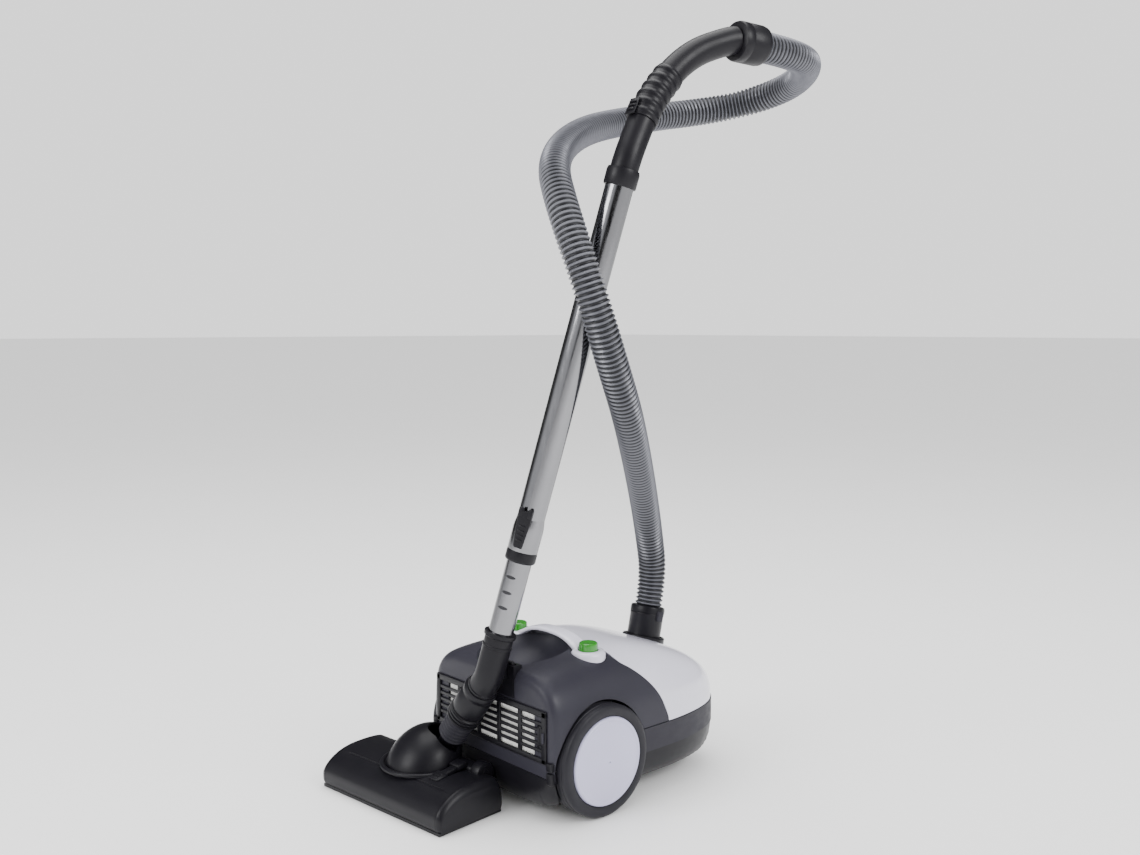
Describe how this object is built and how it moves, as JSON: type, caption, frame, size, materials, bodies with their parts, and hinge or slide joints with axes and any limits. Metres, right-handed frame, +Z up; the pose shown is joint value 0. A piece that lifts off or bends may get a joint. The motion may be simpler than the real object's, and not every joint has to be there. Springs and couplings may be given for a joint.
{
  "type": "canister vacuum cleaner",
  "caption": "Canister vacuum cleaner on wheels, with its floor nozzle and telescopic steel wand parked upright behind it and a ribbed suction hose looping from the wand's handle to the lid.",
  "frame": {"origin": "on the floor, under the middle of the object's box measured without the loose suction hose", "axes": "+Z up; +X from the rear wheels towards the front caster, the way the canister is towed; +Y to the canister's left"},
  "size_m": [0.6408, 0.4155, 1.0072],
  "materials": {
    "dark_housing": "satin",
    "black_plastic": "satin",
    "bumper_rubber": "matte",
    "lid_white": "gloss",
    "wheel_white": "satin gloss",
    "tyre": "satin",
    "green_button": "gloss",
    "tube_steel": "polished",
    "axle_steel": "satin",
    "hose": "metallic satin",
    "handle_black": "satin",
    "filter": "matte",
    "bag_paper": "matte",
    "motor": "cast",
    "sole_metal": "satin",
    "bristle": "matte"
  },
  "bodies": {
    "canister": {"lower_housing": "black_plastic", "bumper_band": "bumper_rubber", "upper_housing": "dark_housing", "carry_handle": "lid_white", "exhaust_grille": "black_plastic", "exhaust_filter": "filter", "park_bracket": "black_plastic", "cord_outlet": "black_plastic", "wheel_axle_left": "axle_steel", "wheel_axle_right": "axle_steel", "motor_body": "motor", "dust_bag": "bag_paper", "bag_plate": "black_plastic", "hose_foot": "hose", "hose_middle": "hose"},
    "wheel_left": {"tyre_left": "tyre", "wheel_disc_left": "wheel_white"},
    "wheel_right": {"tyre_right": "tyre", "wheel_disc_right": "wheel_white"},
    "caster": {"caster_fork": "black_plastic", "caster_axle": "axle_steel"},
    "caster_roller": {"caster_wheel": "tyre"},
    "lid": {"lid": "lid_white", "port_ring": "black_plastic", "hose_connector": "black_plastic"},
    "latch": {"lid_latch": "black_plastic"},
    "tab": {"connector_tab": "black_plastic"},
    "power": {"power_button": "green_button"},
    "rewind": {"rewind_button": "green_button"},
    "filter_latch": {"grille_latch": "black_plastic"},
    "fan": {"fan_impeller": "motor"},
    "reel": {"cord_reel": "black_plastic"},
    "neck": {"neck_elbow": "black_plastic", "lower_tube": "tube_steel", "hose_upper": "hose"},
    "grip": {"upper_tube": "tube_steel", "tube_bush": "black_plastic", "handle_grip": "handle_black", "grip_sleeve": "handle_black"},
    "slider": {"tube_slider": "black_plastic"},
    "regulator": {"suction_slider": "black_plastic"},
    "hose_end": {"hose_collar": "black_plastic"},
    "swivel": {"swivel_collar": "black_plastic", "neck_rings": "black_plastic", "nozzle_yoke": "black_plastic", "neck_bellows": "black_plastic"},
    "nozzle": {"nozzle_body": "black_plastic", "nozzle_sole": "sole_metal", "nozzle_cap_left": "black_plastic", "nozzle_cap_right": "black_plastic", "nozzle_dome": "black_plastic", "pivot_pin": "axle_steel", "pedal_pin": "axle_steel"},
    "pedal": {"nozzle_pedal": "black_plastic"},
    "brushes": {"brush_front": "bristle", "brush_rear": "bristle"}
  },
  "joints": [
    {"name": "wheel_left_spin", "type": "hinge", "parent": "canister", "child": "wheel_left", "pos_m": [-0.0262, 0.10851, 0.072], "axis": [0, 1, 0], "continuous": true},
    {"name": "wheel_right_spin", "type": "hinge", "parent": "canister", "child": "wheel_right", "pos_m": [-0.0262, -0.09949, 0.072], "axis": [0, 1, 0], "continuous": true},
    {"name": "caster_swivel", "type": "hinge", "parent": "canister", "child": "caster", "pos_m": [0.1798, 0.00451, 0.04], "axis": [0, 0, 1], "continuous": true},
    {"name": "caster_roll", "type": "hinge", "parent": "caster", "child": "caster_roller", "pos_m": [0.1698, 0.00451, 0.018], "axis": [0, 1, 0], "continuous": true},
    {"name": "lid_hinge", "type": "hinge", "parent": "canister", "child": "lid", "pos_m": [0.02579, 0.00451, 0.191], "axis": [0, -1, 0], "range_deg": [0, 18], "deforming": ["hose_foot"]},
    {"name": "lid_latch_pull", "type": "slide", "parent": "lid", "child": "latch", "axis": [0, 0, 1], "range_m": [0, 0.003], "stiffness_N_per_m": 600},
    {"name": "connector_tab_press", "type": "slide", "parent": "lid", "child": "tab", "axis": [0, 1, 0], "range_m": [0, 0.002], "stiffness_N_per_m": 600},
    {"name": "power_press", "type": "slide", "parent": "canister", "child": "power", "axis": [0, 0, -1], "range_m": [0, 0.004], "stiffness_N_per_m": 900, "springref_m": -0.002},
    {"name": "rewind_press", "type": "slide", "parent": "canister", "child": "rewind", "axis": [0, 0, -1], "range_m": [0, 0.004], "stiffness_N_per_m": 900, "springref_m": -0.002},
    {"name": "filter_latch_press", "type": "slide", "parent": "canister", "child": "filter_latch", "axis": [0, 1, 0], "range_m": [0, 0.0025], "stiffness_N_per_m": 600},
    {"name": "fan_spin", "type": "hinge", "parent": "canister", "child": "fan", "pos_m": [0.0108, 0.00451, 0.104], "axis": [1, 0, 0], "continuous": true},
    {"name": "reel_spin", "type": "hinge", "parent": "canister", "child": "reel", "pos_m": [-0.0302, 0.00451, 0.02], "axis": [0, 0, 1], "continuous": true},
    {"name": "wand_lift", "type": "slide", "parent": "canister", "child": "neck", "axis": [0, 0, 1], "range_m": [0, 0.08], "deforming": ["hose_middle"]},
    {"name": "tube_extension", "type": "slide", "parent": "neck", "child": "grip", "axis": [0.1776, -0.187, 0.9662], "range_m": [-0.08, 0.28], "deforming": ["hose_upper"]},
    {"name": "tube_slider_press", "type": "slide", "parent": "grip", "child": "slider", "axis": [0.1776, -0.187, 0.9662], "range_m": [0, 0.006], "stiffness_N_per_m": 900, "springref_m": -0.002},
    {"name": "suction_slide", "type": "slide", "parent": "grip", "child": "regulator", "axis": [0.4994, 0.0333, 0.8657], "range_m": [-0.008, 0.008]},
    {"name": "hose_end_swivel", "type": "hinge", "parent": "grip", "child": "hose_end", "pos_m": [0.2018, -0.18149, 0.98], "axis": [0.9877, -0.1519, -0.038], "continuous": true},
    {"name": "neck_swivel", "type": "hinge", "parent": "neck", "child": "swivel", "pos_m": [-0.1352, 0.07651, 0.05], "axis": [0.0241, -0.6275, 0.7783], "range_deg": [-8, 2]},
    {"name": "nozzle_tilt", "type": "hinge", "parent": "swivel", "child": "nozzle", "pos_m": [-0.1352, 0.07651, 0.05], "axis": [-0.095, 0.9955, 0], "range_deg": [-2, 10], "deforming": ["neck_bellows"]},
    {"name": "pedal_rock", "type": "hinge", "parent": "nozzle", "child": "pedal", "pos_m": [-0.16273, 0.01638, 0.0455], "axis": [-0.095, 0.9955, 0], "range_deg": [0, 6]},
    {"name": "brush_drop", "type": "slide", "parent": "nozzle", "child": "brushes", "axis": [0, 0, -1], "range_m": [0, 0.004]}
  ],
  "couplings": [
    {"joint": "brush_drop", "follows": "pedal_rock", "m_per_rad": 0.036}
  ]
}
